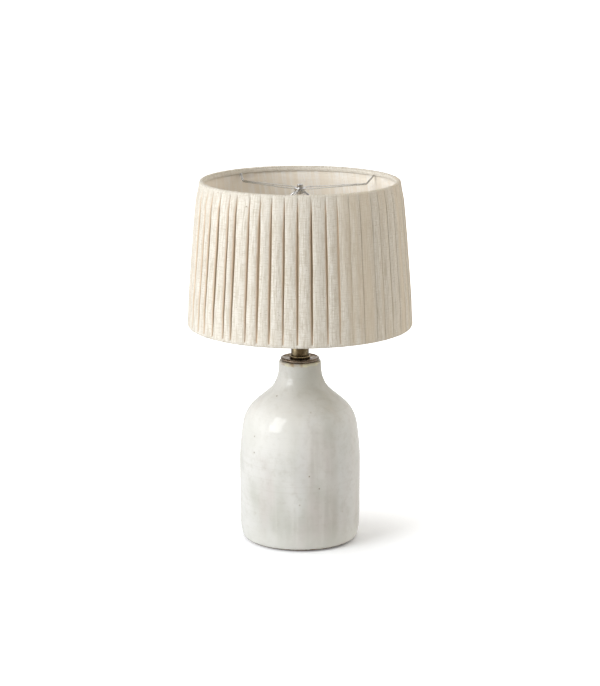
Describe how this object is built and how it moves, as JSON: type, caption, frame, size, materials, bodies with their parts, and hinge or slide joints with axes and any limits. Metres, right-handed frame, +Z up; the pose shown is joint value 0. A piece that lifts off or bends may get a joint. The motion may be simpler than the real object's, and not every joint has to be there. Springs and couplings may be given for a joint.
{
  "type": "ceramic table lamp",
  "caption": "Table lamp with a bottle-shaped glazed ceramic body, brass neck collar and a pleated linen drum shade held by a spider and harp.",
  "frame": {"origin": "centre of the underside of the felt pad, on the surface that the lamp stands on", "axes": "+Z up along the stem; -Y is the front, as pictured; the harp lies in the XZ plane; the lead's inlet faces +Y"},
  "size_m": [0.3556, 0.3556, 0.5812],
  "materials": {
    "glaze": "glossy off-white glaze",
    "felt": "dense felt",
    "nylon": "moulded",
    "antique_brass": "antique, satin",
    "zinc_steel": "zinc plated",
    "nickel": "nickel plated",
    "bright_brass": "plain",
    "aluminium": "drawn",
    "fibre_paper": "pressed fibre",
    "phenolic": "moulded",
    "opal_glass": "frosted",
    "linen": "natural linen weave",
    "lining": "linen laminated on a stiff sheet",
    "wire": "white coated"
  },
  "bodies": {
    "base": {"ceramic_body": "glaze", "felt_pad": "felt", "cord_bushing": "nylon", "threaded_rod": "zinc_steel", "bottom_washer": "zinc_steel", "bottom_lock_washer": "zinc_steel", "bottom_nut": "zinc_steel", "vase_cap": "antique_brass", "base_ring": "antique_brass", "collar_tube": "antique_brass", "collar_cap": "antique_brass", "harp_saddle": "nickel", "harp_bow": "nickel", "harp_seat": "nickel", "harp_stud": "nickel", "socket_cap": "nickel", "socket_set_screw": "zinc_steel", "socket_shell": "nickel", "socket_insulator": "fibre_paper", "socket_core": "phenolic", "terminal_screws": "bright_brass", "screw_shell": "aluminium", "centre_contact": "bright_brass"},
    "knob": {"knob_shaft": "bright_brass", "switch_knob": "phenolic"},
    "bulb": {"bulb_glass": "opal_glass", "bulb_base": "aluminium", "bulb_insulator": "phenolic", "bulb_tip": "bright_brass"},
    "sleeve_left": {"harp_sleeve_left": "nickel"},
    "sleeve_right": {"harp_sleeve_right": "nickel"},
    "finial": {"finial": "nickel"},
    "shade": {"spider_hub": "nickel", "spider_arms": "nickel", "top_wire": "wire", "bottom_wire": "wire", "top_hem": "linen", "bottom_hem": "linen", "shade_lining": "lining", "shade_fabric": "linen"}
  },
  "joints": [
    {"name": "knob_turn", "type": "hinge", "parent": "base", "child": "knob", "pos_m": [0, 0, 0.3689], "axis": [0, -1, 0], "continuous": true},
    {"name": "bulb_out", "type": "slide", "parent": "base", "child": "bulb", "axis": [0, 0, 1], "range_m": [0, 0.03]},
    {"name": "sleeve_left_slide", "type": "slide", "parent": "base", "child": "sleeve_left", "axis": [0, 0, 1], "range_m": [0, 0.012]},
    {"name": "sleeve_right_slide", "type": "slide", "parent": "base", "child": "sleeve_right", "axis": [0, 0, 1], "range_m": [0, 0.012]},
    {"name": "finial_lift", "type": "slide", "parent": "base", "child": "finial", "axis": [0, 0, 1], "range_m": [0, 0.25]},
    {"name": "shade_turn", "type": "hinge", "parent": "finial", "child": "shade", "pos_m": [0, 0, 0.5673], "axis": [0, 0, 1], "continuous": true}
  ]
}
